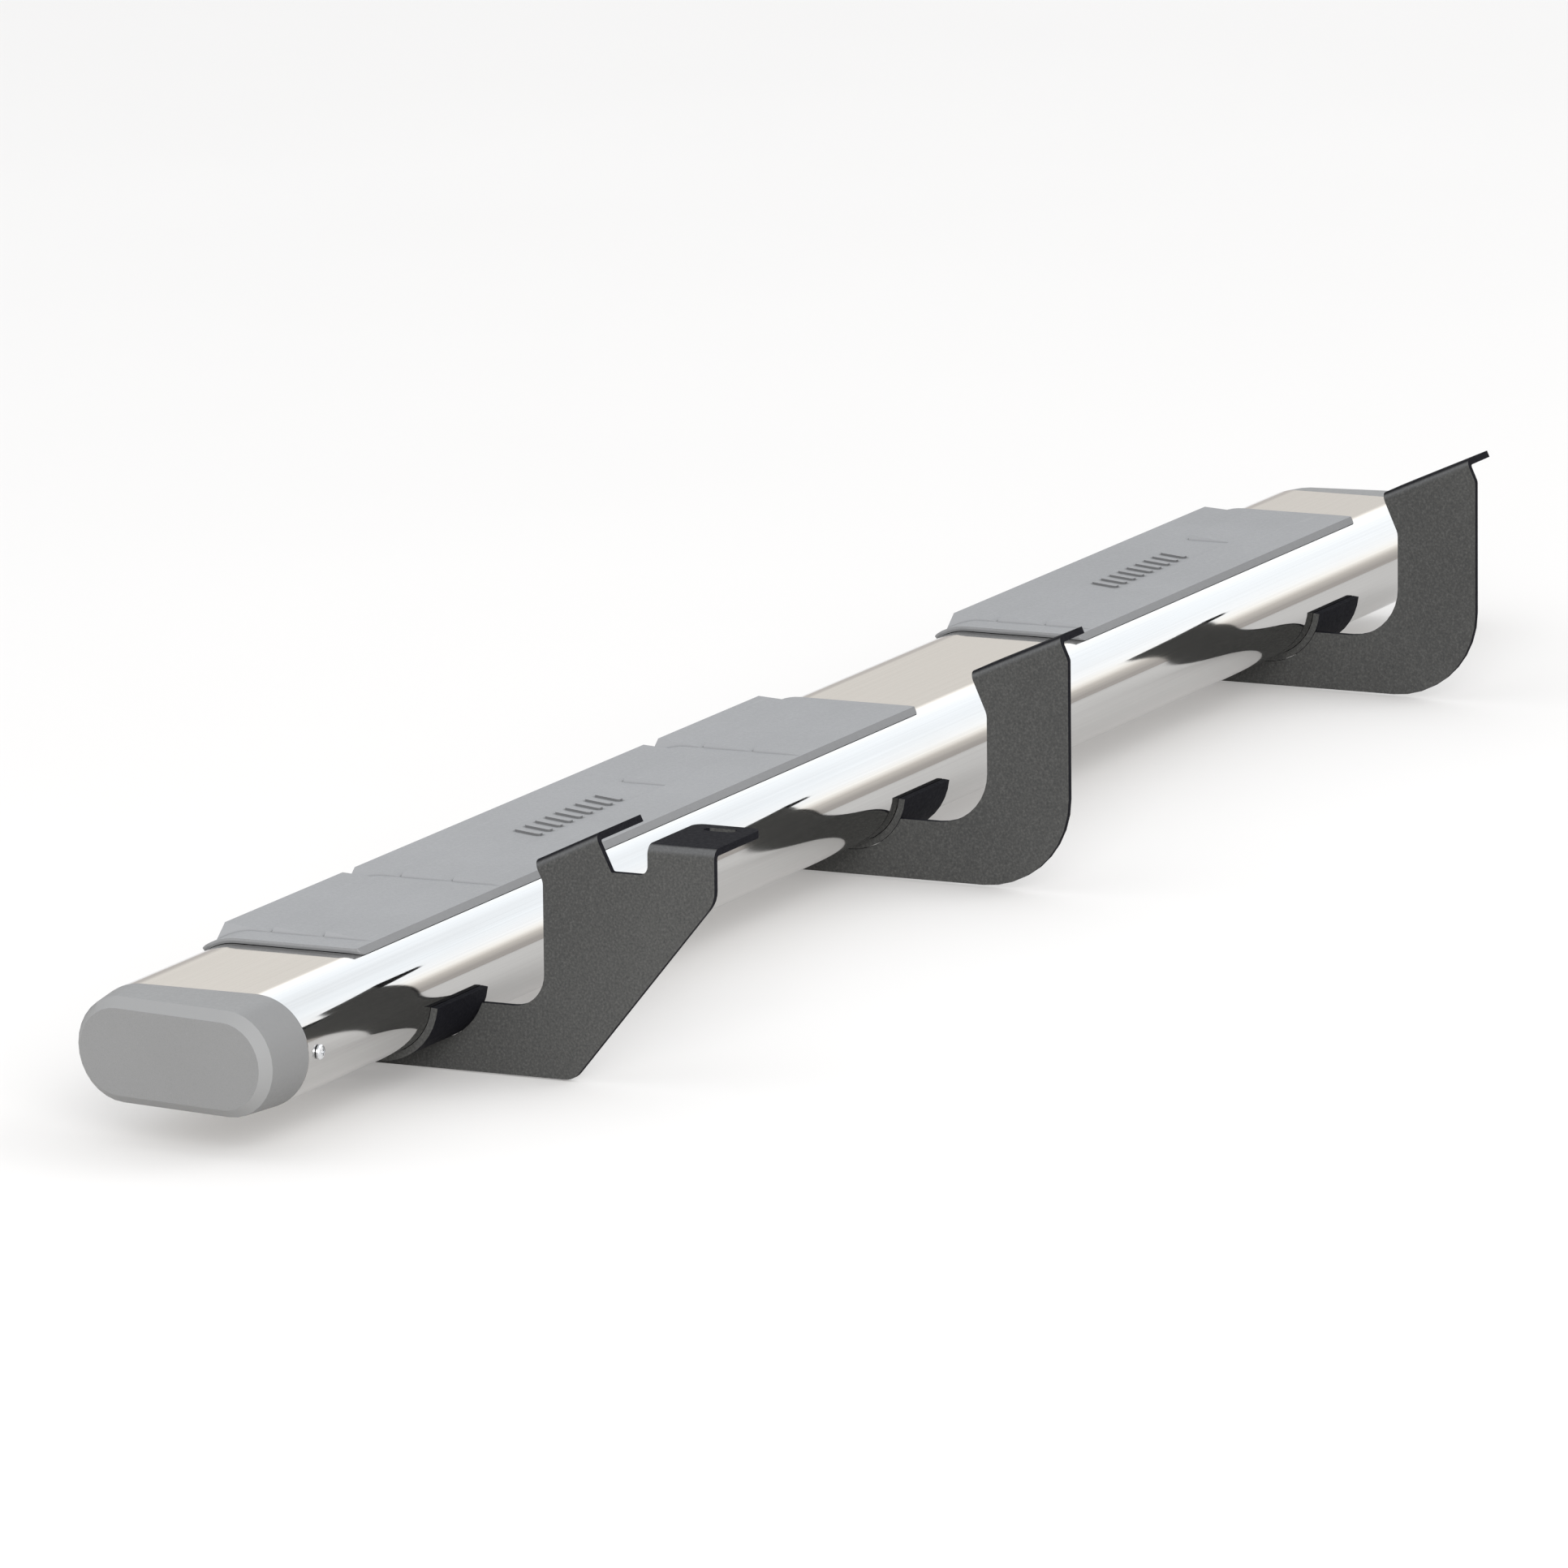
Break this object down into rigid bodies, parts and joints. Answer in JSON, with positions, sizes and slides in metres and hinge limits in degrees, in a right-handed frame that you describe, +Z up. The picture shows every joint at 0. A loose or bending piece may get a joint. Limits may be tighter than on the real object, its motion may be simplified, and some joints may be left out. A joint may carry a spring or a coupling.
{
  "type": "running board",
  "caption": "Oval-tube side step with two ribbed step pads, moulded end caps and plate brackets that bend into slotted mounting flanges.",
  "frame": {"origin": "centre of the front bracket's level mounting tab, on its top face", "axes": "+X along the board towards its rear end, +Y away from the vehicle, +Z up"},
  "size_m": [1.93, 0.319, 0.1746],
  "materials": {
    "polished_steel": "polished stainless steel tube, roughness 0.12, faint lengthwise polishing lines",
    "pad_polymer": "matt mid-grey moulded polymer, fine moulded grain, roughness 0.6",
    "cap_polymer": "satin grey moulded polymer, roughness 0.55",
    "powder_coat": "textured charcoal-black powder coat over steel plate, roughness 0.55",
    "zinc_steel": "bright zinc plate, roughness 0.32",
    "clip_nylon": "black nylon, satin"
  },
  "bodies": {
    "root": {"tube": "polished_steel", "end_cap_front": "cap_polymer", "end_cap_rear": "cap_polymer", "cap_screw_front_inner": "zinc_steel", "cap_screw_front_outer": "zinc_steel", "cap_screw_rear_inner": "zinc_steel", "cap_screw_rear_outer": "zinc_steel", "step_pad_long": "pad_polymer", "step_pad_short": "pad_polymer", "pad_clip_1": "clip_nylon", "pad_clip_2": "clip_nylon", "pad_clip_3": "clip_nylon", "pad_clip_4": "clip_nylon", "pad_clip_5": "clip_nylon", "pad_clip_6": "clip_nylon", "pad_clip_7": "clip_nylon", "pad_clip_8": "clip_nylon", "pad_clip_9": "clip_nylon", "pad_clip_10": "clip_nylon", "bracket_web_front": "powder_coat", "bracket_saddle_front": "powder_coat", "bracket_web_mid": "powder_coat", "bracket_saddle_mid": "powder_coat", "bracket_web_rear": "powder_coat", "bracket_saddle_rear": "powder_coat", "bolt_front_1": "zinc_steel", "lock_washer_front_1": "zinc_steel", "flat_washer_front_1": "zinc_steel", "threaded_insert_front_1": "zinc_steel", "bolt_front_2": "zinc_steel", "lock_washer_front_2": "zinc_steel", "flat_washer_front_2": "zinc_steel", "threaded_insert_front_2": "zinc_steel", "bolt_mid_1": "zinc_steel", "lock_washer_mid_1": "zinc_steel", "flat_washer_mid_1": "zinc_steel", "threaded_insert_mid_1": "zinc_steel", "bolt_mid_2": "zinc_steel", "lock_washer_mid_2": "zinc_steel", "flat_washer_mid_2": "zinc_steel", "threaded_insert_mid_2": "zinc_steel", "bolt_rear_1": "zinc_steel", "lock_washer_rear_1": "zinc_steel", "flat_washer_rear_1": "zinc_steel", "threaded_insert_rear_1": "zinc_steel", "bolt_rear_2": "zinc_steel", "lock_washer_rear_2": "zinc_steel", "flat_washer_rear_2": "zinc_steel", "threaded_insert_rear_2": "zinc_steel"}
  },
  "joints": []
}
